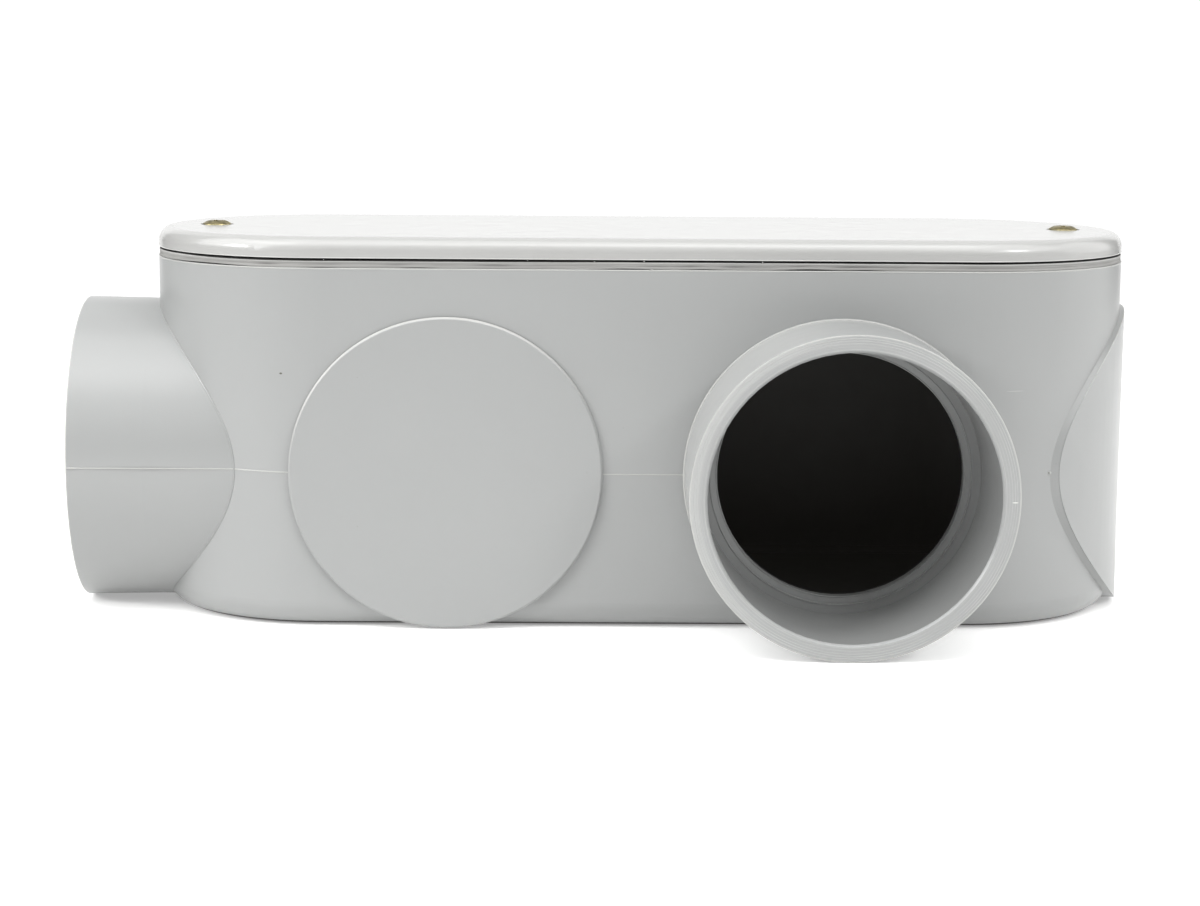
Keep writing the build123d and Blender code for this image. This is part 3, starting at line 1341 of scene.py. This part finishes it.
    def nubs(self, material: bpy.types.Material) -> bpy.types.Object:
        """Small blobs of flash where mould parts meet, each a squashed ball.

        Args:
            material: Its material.

        Returns:
            The piece.
        """
        plan = self.plan
        saddle = plan.end_centre + math.sqrt(plan.half_width**2 - plan.root_radius**2)
        mouth_x = plan.end_mouth_x + self.mouth_nub_back
        mouth = np.array([mouth_x, -plan.mouth_radius, plan.axis_height])
        root = np.array([saddle, -plan.root_radius, plan.axis_height]) + self.root_nub_off
        patches = Patchwork()
        for centre, radii in ((mouth, self.mouth_nub), (root, self.root_nub)):
            patches.add(ball(centre, np.array(radii)), (False, True), cap_ends=True)
        return patches.build("flash_nubs", material)


@dataclass
class Gasket:
    """The rubber gasket: its CAD node, and the cut edge that bulges out round it.

    The section runs from its upper inner corner round the outside to its lower one. Each point is
    how far out it is, its share of the height, 0 on the cut edge or 1 at the end of the crack under
    it or 2 at the inner side, and how much of the lift it takes.

    A loose stretch stands off the rim and a full one fills part of the gap under the cover. Each is
    its middle, half length and height on the front. A crumb is its place along X, its height over
    the rim and its radii.
    """

    plan: BodyPlan
    finish: CellularRubber
    overlap: float = 1.6
    crack_depth: float = 0.8
    set_back: float = 0.16
    swell: float = 0.035
    swell_waves: int = 24
    top_wander: float = 0.03
    top_waves: int = 14
    top_drop: float = 0.3
    top_share: float = 0.94
    count: int = 1400
    section: tuple[tuple[float, float, int, float], ...] = (
        (0.0, 0.9, 2, 0.0), (-0.5, 0.98, 0, 0.0), (-0.14, 1.0, 0, 0.0), (-0.03, 0.95, 0, 0.0),
        (0.0, 0.86, 0, 0.0), (-0.03, 0.75, 0, 0.1), (-0.10, 0.6, 0, 0.3), (-0.12, 0.42, 0, 0.5),
        (-0.08, 0.27, 0, 0.8), (-0.01, 0.17, 0, 1.0), (0.0, 0.09, 0, 1.0), (-0.05, 0.02, 0, 1.0),
        (-0.16, 0.0, 0, 1.0), (0.0, 0.03, 1, 0.8), (0.0, 0.1, 2, 0.0),
    )
    loose_stretches: tuple[Triple, ...] = (
        (-139.0, 19.0, 0.40), (-102.0, 8.0, 0.14), (-71.5, 9.0, 0.24), (-6.0, 15.0, 0.28),
        (18.5, 10.0, 0.22), (52.0, 15.0, 0.42), (69.0, 10.0, 0.26),
    )
    full_stretches: tuple[Triple, ...] = (
        (-150.0, 18.0, 0.2), (20.0, 70.0, 0.16), (85.0, 70.0, 0.16), (150.0, 60.0, 0.14),
    )
    crumb_list: tuple[tuple[float, float, Triple], ...] = (
        (-0.4, 2.62, (0.16, 0.3, 0.3)), (2.1, 0.1, (0.5, 0.3, 0.14)),
        (36.9, 2.5, (0.14, 0.3, 0.4)), (-101.0, 2.6, (0.12, 0.25, 0.22)),
        (-37.0, 2.66, (0.12, 0.25, 0.2)), (-16.0, 2.5, (0.2, 0.25, 0.14)),
    )

    def build(self) -> list[bpy.types.Object]:
        """Dresses the node and makes the edge and the crumbs that its cutting left.

        Returns:
            The new pieces.
        """
        material = self.finish.material()
        dress(frame["nodes"]["gasket"], material)
        made = [self.edge(material), self.crumbs(material)]
        for piece in made:
            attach(piece, "cover")
        return made

    def edge(self, material: bpy.types.Material) -> bpy.types.Object:
        """The cut edge: a closed section carried round the plan, its inner side sunk in the node.

        The section has a rounded upper lip, a shallow hollow where the rubber is squeezed, and a
        lower lip. Its lower side lifts off the rim in a few loose stretches, so that a dark line
        shows there, and its upper lip swells into the gap under the cover in others.

        Args:
            material: Its material.

        Returns:
            The piece.
        """
        plan = self.plan
        points, normals = plan.ring(self.count, -self.set_back)
        swell = self.swell * wander(self.count, Seed.GASKET_SWELL, self.swell_waves)
        lift = bulges(points, self.loose_stretches)
        top = self.top_wander * wander(self.count, Seed.GASKET_TOP, self.top_waves)
        top = top - self.top_drop + bulges(points, self.full_stretches)
        out, share, depth, raised = np.array(self.section).T
        inward = out[None, :] + swell[:, None] * (depth == 0)
        inward = inward - self.crack_depth * (depth == 1) - self.overlap * (depth == 2)
        height = plan.rim_height + (plan.gasket_top - plan.rim_height) * share[None, :]
        height = height + raised[None, :] * lift[:, None]
        height = height + (share[None, :] > self.top_share) * top[:, None]
        grid = points[:, None, :] + normals[:, None, :] * inward[:, :, None]
        grid[:, :, 2] = height
        patches = Patchwork()
        patches.add(grid, (True, True))
        return patches.build("gasket_edge", material)

    def crumbs(self, material: bpy.types.Material) -> bpy.types.Object:
        """Crumbs and nicks of rubber that stand out from the cut edge, each a squashed ball.

        Args:
            material: Its material.

        Returns:
            The piece.
        """
        plan = self.plan
        patches = Patchwork()
        for x, height, radii in self.crumb_list:
            centre = np.array([x, -plan.half_width + self.set_back, plan.rim_height + height])
            patches.add(ball(centre, np.array(radii)), (False, True), cap_ends=True)
        return patches.build("gasket_crumbs", material)


@dataclass
class Cover:
    """The cover plate: its CAD node, and the soft lower edge of its skirt."""

    plan: BodyPlan
    finish: MouldedPvc
    edge_highlight_finish: MouldedPvc
    edge_radius: float = 0.17
    edge_set_in: float = 0.6
    edge_lift: float = 1.05
    edge_wander: float = 0.08
    gap_height: float = 0.56

    def build(self) -> list[bpy.types.Object]:
        """Dresses the node and makes the skirt's edge.

        Returns:
            The new piece.
        """
        material = self.finish.material()
        dress(frame["nodes"]["cover"], material)
        count = OUTLINE_POINTS
        points, normals = self.plan.ring(count, -self.edge_set_in * self.edge_radius)
        lift = self.edge_lift * self.edge_radius
        points[:, 2] = self.plan.gasket_top + self.gap_height + lift
        across = np.tile([0.0, 0.0, 1.0], (count, 1))
        heights = self.edge_radius * (1 + self.edge_wander * wander(count, Seed.SKIRT))
        patches = Patchwork()
        patches.add(bead(points, normals, across, self.edge_radius, heights), (True, True))
        # Paler than the cover: a painted highlight on the skirt's lower edge
        edge = patches.build("cover_skirt_edge", self.edge_highlight_finish.material())
        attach(edge, "cover")
        return [edge]


@dataclass(frozen=True)
class CoverScrew:
    """A pan head cover screw with a combined slot and a rolled thread.

    It is given by the place of its axis along X, and by the heights of its tip and of the seat
    under its head. The head's profile is radius and height over the seat, from shank to crown.
    """

    place: ScrewPlace
    finish: bpy.types.Material
    x: float
    tip: float
    seat: float
    core_radius: float = 1.85
    thread_radius: float = 2.38
    pitch: float = 1.27
    ridge_height: float = 1.25
    ridge_slope: float = 5.0
    thread_stop: float = 0.6
    point_start: float = 1.2
    point_fade: float = 2.4
    least_point: float = 0.5
    sunk: float = 0.2
    head_profile: tuple[tuple[float, float], ...] = (
        (1.85, 0.0), (4.62, 0.0), (4.78, 0.06), (4.84, 0.2), (4.83, 0.45), (4.72, 0.66),
        (4.35, 0.92), (3.7, 1.26), (3.1, 1.53), (2.8, 1.61), (2.4, 1.66), (1.5, 1.71), (0.02, 1.74),
    )
    slot_half: float = 0.65
    slot_edge: float = 0.06
    cross_half: float = 2.8
    slot_floor: float = 0.8
    slot_turn: float = 82.0
    rows_per_pitch: int = 12
    shank_points: int = 56
    head_rows: int = 72

    @classmethod
    def from_frame(cls, place: ScrewPlace, finish: bpy.types.Material) -> "CoverScrew":
        """Reads where the screw's node is, and the cover's top, which lies over the seat.

        Args:
            place: Which screw.
            finish: Its material.

        Returns:
            The screw.
        """
        low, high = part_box(place.value)
        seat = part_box("cover")[1].z / MM - SEAT_DEPTH
        return cls(place, finish, (low.x + high.x) / 2 / MM, low.z / MM, seat)

    def build(self) -> bpy.types.Object:
        """Makes the screw in place of its CAD node.

        Returns:
            The piece.
        """
        patches = Patchwork()
        patches.add(self.shank(), (False, True), cap_ends=True)
        patches.add(self.head(), (False, True), cap_ends=True)
        screw = patches.build(f"brass_{self.place.value}", self.finish)
        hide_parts(self.place.value)
        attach(screw, self.place.value)
        return screw

    def shank(self) -> Array:
        """The threaded shank.

        The radius at an angle and a height is the core plus the thread's height, where the thread
        is a rounded ridge of the height over the pitch less the angle over a turn, and it fades out
        at the tip and under the head.

        Returns:
            The grid of points, in millimetres.
        """
        rows = int((self.seat - self.tip) / self.pitch * self.rows_per_pitch)
        z = np.linspace(self.tip, self.seat + self.sunk, rows)[:, None]
        angle = np.linspace(0, TAU, self.shank_points, endpoint=False)[None, :]
        phase = (z - self.tip) / self.pitch - angle / TAU
        away = np.abs(phase - np.round(phase))
        ridge = np.clip(self.ridge_height - self.ridge_slope * away, 0, 1)
        fade = np.clip((z - self.tip) / (2 * self.pitch), 0, 1)
        fade = fade * np.clip((self.seat - self.thread_stop - z) / self.pitch, 0, 1)
        point = (self.tip + self.point_start - z) / self.point_fade
        taper = np.clip(1 - point, self.least_point, 1)
        radius = self.core_radius * taper + (self.thread_radius - self.core_radius) * ridge * fade
        return np.stack(
            [self.x + radius * np.cos(angle), radius * np.sin(angle), z + 0 * angle], axis=2
        )

    def head(self) -> Array:
        """The head as a turned profile whose crown is cut down to the floor of the slots.

        The profile's corners are joined at steps that are short enough to show the slots' sides.

        Returns:
            The grid of points, in millimetres.
        """
        corner_r, corner_z = np.array(self.head_profile).T
        walked = np.concatenate([[0], np.cumsum(np.hypot(np.diff(corner_r), np.diff(corner_z)))])
        steps = np.linspace(0, walked[-1], self.head_rows)
        radius = np.interp(steps, walked, corner_r)
        height = np.interp(steps, walked, corner_z)
        angle = np.linspace(0, TAU, RING_POINTS, endpoint=False)[None, :]
        x, y = radius[:, None] * np.cos(angle), radius[:, None] * np.sin(angle)
        turn = math.radians(self.slot_turn)
        u = np.abs(x * math.cos(turn) + y * math.sin(turn))
        v = np.abs(y * math.cos(turn) - x * math.sin(turn))
        along = np.clip((self.slot_half - u) / self.slot_edge, 0, 1)
        cross = np.clip((self.slot_half - v) / self.slot_edge, 0, 1)
        cross = cross * np.clip((self.cross_half - u) / self.slot_edge, 0, 1)
        cut = np.maximum(along, cross)
        z = height[:, None] - cut * np.maximum(height[:, None] - self.slot_floor, 0)
        return np.stack([self.x + x, y, self.seat + z], axis=2)


# The studio


@dataclass(frozen=True)
class Softbox:
    """An area light that faces the object from a direction."""

    name: str
    azimuth: float
    elevation: float
    width: float
    height: float
    power: float
    distance: float = 1.7

    def build(self, target: Vector) -> bpy.types.Object:
        """Makes the light.

        Azimuth 0 is in front, towards -Y, and 90 is at the right, towards +X.

        Args:
            target: The point that it faces.

        Returns:
            The light.
        """
        a, e = math.radians(self.azimuth), math.radians(self.elevation)
        back = Vector((math.sin(a) * math.cos(e), -math.cos(a) * math.cos(e), math.sin(e)))
        lamp = bpy.data.lights.new(self.name, "AREA")
        lamp.shape = "RECTANGLE"
        lamp.size, lamp.size_y = self.width, self.height
        lamp.energy = self.power
        made = bpy.data.objects.new(self.name, lamp)
        made.visible_camera = False
        made.location = target + back * self.distance
        made.rotation_euler = (-back).to_track_quat("-Z", "Y").to_euler()
        bpy.context.scene.collection.objects.link(made)
        return made


@dataclass(frozen=True)
class Viewpoint:
    """The photograph's camera, as fitted: place in millimetres, angles in degrees."""

    place: Triple = (-24.6, -903.72, 189.24)
    yaw: float = -0.73
    pitch: float = -8.86
    roll: float = -0.43
    focal_px: float = 2700.0
    image_width_px: float = 1200.0
    sensor_mm: float = 36.0
    clip: tuple[float, float] = (0.01, 100.0)

    def build(self) -> bpy.types.Object:
        """Makes the scene's camera.

        The camera looks along +Y, tips about its own right side, turns about the vertical, and last
        rolls about its own line of sight.

        Returns:
            The camera.
        """
        lens = bpy.data.cameras.new("camera")
        lens.sensor_fit = "HORIZONTAL"
        lens.sensor_width = self.sensor_mm
        lens.lens = self.focal_px / self.image_width_px * self.sensor_mm
        lens.clip_start, lens.clip_end = self.clip
        made = bpy.data.objects.new("camera", lens)
        turn = Matrix.Rotation(math.radians(self.yaw), 4, "Z")
        tip = Matrix.Rotation(math.radians(90 + self.pitch), 4, "X")
        roll = Matrix.Rotation(math.radians(-self.roll), 4, "Z")
        made.matrix_world = Matrix.Translation(Vector(self.place) * MM) @ turn @ tip @ roll
        bpy.context.scene.collection.objects.link(made)
        bpy.context.scene.camera = made
        return made


@dataclass(frozen=True)
class Studio:
    """The floor, the lights and the white surround, which lights nothing."""

    softboxes: tuple[Softbox, ...]
    surround: float = 1.1
    floor_reach: float = 1.1
    floor_middle: float = 0.004
    floor_rings: int = 12
    floor_turns: int = 96
    floor_glow: float = 0.3

    def build(self) -> None:
        """Makes the studio and points its lights at the middle of the object."""
        low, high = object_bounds()
        target = (low + high) / 2
        for softbox in self.softboxes:
            softbox.build(target)
        self.floor()
        world = bpy.data.worlds.new("studio")
        world.use_nodes = True
        board = Board(world.node_tree)
        inputs = {"Color": (1.0, 1.0, 1.0, 1.0), "Strength": self.surround}
        light = board.node("ShaderNodeBackground", {}, inputs)[0]
        board.node("ShaderNodeOutputWorld", {}, {"Surface": light})
        bpy.context.scene.world = world
        world.cycles_visibility.diffuse = False
        world.cycles_visibility.glossy = False
        bpy.context.scene.view_settings.view_transform = "Standard"

    def floor(self) -> None:
        """A round sheet at the height of the base: rings of points at even steps of radius."""
        ring = np.linspace(self.floor_middle, self.floor_reach, self.floor_rings)[:, None] / MM
        turn = np.linspace(0, TAU, self.floor_turns, endpoint=False)[None, :]
        grid = np.stack([ring * np.cos(turn), ring * np.sin(turn), 0 * ring * turn], axis=2)
        patches = Patchwork()
        patches.add(grid, (False, True))
        patches.caps.append(np.arange(self.floor_turns))
        patches.build("floor", StudioPaper(glow=self.floor_glow).material())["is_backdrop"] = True


# Each softbox: name, azimuth, elevation, width, height and power
SOFTBOXES = (
    Softbox("key", -72.0, 38.0, 1.6, 1.6, 26.7),
    Softbox("key_core", -61.0, 23.5, 0.42, 0.26, 9.0),
    Softbox("key_top", -40.0, 70.0, 1.4, 1.4, 10.8),
    Softbox("fill_right", 45.0, 50.0, 1.6, 1.6, 20.4),
    Softbox("fill_right_core", 44.5, 31.0, 0.3, 0.2, 5.0),
    Softbox("fill_top", 0.0, 80.0, 1.4, 1.4, 5.6),
    Softbox("fill_front_high", -20.0, 50.0, 1.6, 1.6, 5.4),
    Softbox("fill_low", 60.0, 8.0, 1.3, 1.3, 2.8),
    Softbox("fill_side", 100.0, 22.0, 1.5, 1.5, 13.4),
    Softbox("backdrop", 180.0, 7.0, 2.4, 0.85, 7.2),
    Softbox("backdrop_middle", 180.0, 34.0, 2.4, 0.8, 5.2),
    Softbox("backdrop_high", 180.0, 60.0, 2.2, 0.8, 4.4),
)


BODY_GREY = (0.274, 0.279, 0.276)
BODY_ROUGHNESS = 0.3
COVER_ROUGHNESS = 0.25

# Specks and scuffs that show on the front of the body
MARKS = (
    Mark(-114.9, 81.9, 0.55, 0.36, (0.07, 0.065, 0.055)),
    Mark(111.1, 49.85, 1.1, 0.18, (0.6, 0.6, 0.58)),
    Mark(13.4, 50.5, 0.9, 0.3, (0.5, 0.49, 0.46)),
    Mark(13.9, 50.3, 0.24, 0.26, (0.06, 0.045, 0.035)),
    Mark(13.8, 48.6, 0.14, 1.5, (0.42, 0.42, 0.41)),
    Mark(118.0, 77.5, 3.4, 0.13, (0.36, 0.36, 0.355)),
)


@dataclass(frozen=True)
class Finishes:
    """The finishes of the object, with their masks placed by the plan."""

    body: MouldedPvc
    flash: MouldedPvc
    pad_edge: MouldedPvc
    cover: MouldedPvc
    cover_edge: MouldedPvc
    gasket: CellularRubber
    brass: DullBrass

    @classmethod
    def for_plan(cls, plan: BodyPlan) -> "Finishes":
        """Sets the finishes out.

        Args:
            plan: The plan of the housing.

        Returns:
            The finishes.
        """
        end = (0.0, 0.0, plan.axis_height)
        side = (plan.side_hub_x, 0.0, plan.axis_height)
        blank = (-plan.side_hub_x, 0.0, plan.axis_height)
        end_blank = (plan.half_length, 0.0, plan.axis_height)
        end_hub = HubZones(
            end, True, plan.end_mouth_x, root_mm=-plan.half_length + 20.0, throat_mm=-134.0
        )
        side_hub = HubZones(
            side, False, plan.side_mouth_y, root_mm=-plan.half_width, throat_mm=-53.0
        )
        # Painted highlight on the side hub's barrel, on its side towards the light
        side_barrel_highlight = HighlightArc(side, (-0.97, 0.0, 0.26), start_mm=8.0, full_mm=36.0)
        # Painted highlights on the lit sides of the blanks' round edges
        blank_edge_highlight = HighlightArc(blank, (-0.26, 0.0, 0.97), start_mm=4.0, full_mm=44.0)
        end_blank_edge_highlight = HighlightArc(end_blank, (0.94, 0.0, 0.34), start_mm=-14.0, full_mm=0.0)
        centre, half = plan.end_centre, plan.half_width
        gap_top = plan.gasket_top + Cover.gap_height
        # Painted shade: in the gap under the cover's skirt, and on the gasket's faces in from its
        # cut edge
        gap = GapShade(centre, half, top_mm=gap_top + 0.02, set_in_mm=0.5, deep_mm=3.4)
        face_shade = GapShade(centre, half, top_mm=gap_top + 1.0, set_in_mm=0.3, deep_mm=99.0)
        return cls(
            body=MouldedPvc(
                "body_pvc_skin",
                BODY_GREY,
                BODY_ROUGHNESS,
                hubs=(end_hub, side_hub),
                marks=MARKS,
                barrel_highlights=((side_hub, side_barrel_highlight),),
                # Painted shade and a faint painted glow inside the shell
                interior_shade=InteriorShade(centre, half),
            ),
            # Paler as scraped flash, and as a painted highlight on the rim edge and the mouths'
            # lips
            flash=MouldedPvc("body_pvc_flash", (0.365, 0.366, 0.355), BODY_ROUGHNESS),
            pad_edge=MouldedPvc(
                "body_pvc_pad_edge",
                BODY_GREY,
                BODY_ROUGHNESS,
                highlight_arcs=(blank_edge_highlight, end_blank_edge_highlight),
            ),
            cover=MouldedPvc(
                "cover_pvc_skin",
                (0.332, 0.332, 0.324),
                COVER_ROUGHNESS,
                grain_depth_mm=0.001,
                wave_depth_mm=0.006,
                coat=0.3,
                coat_roughness=0.15,
                gap_shade=gap,
            ),
            # Paler than the cover: a painted highlight on the skirt's lower edge
            cover_edge=MouldedPvc(
                "cover_pvc_highlight_edge", (0.42, 0.42, 0.41), COVER_ROUGHNESS, grain_depth_mm=0.001
            ),
            gasket=CellularRubber("gasket_rubber_skin", face_shade, plan.gasket_top),
            brass=DullBrass("screw_brass_skin"),
        )


def main() -> None:
    """Builds the sub-assemblies in order, then the studio and the camera."""
    logging.basicConfig(level=logging.INFO, format="%(name)s: %(message)s")
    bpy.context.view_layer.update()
    plan = BodyPlan.from_frame()
    finishes = Finishes.for_plan(plan)
    made = Housing(plan, finishes.body, finishes.flash, finishes.pad_edge).build()
    made += Gasket(plan, finishes.gasket).build()
    made += Cover(plan, finishes.cover, finishes.cover_edge).build()
    brass = finishes.brass.material()
    made += [CoverScrew.from_frame(place, brass).build() for place in ScrewPlace]
    for piece in made:
        LOG.info("%s has %d faces", piece.name, len(piece.data.polygons))
    Studio(SOFTBOXES).build()
    Viewpoint().build()


if __name__ == "__main__":
    main()
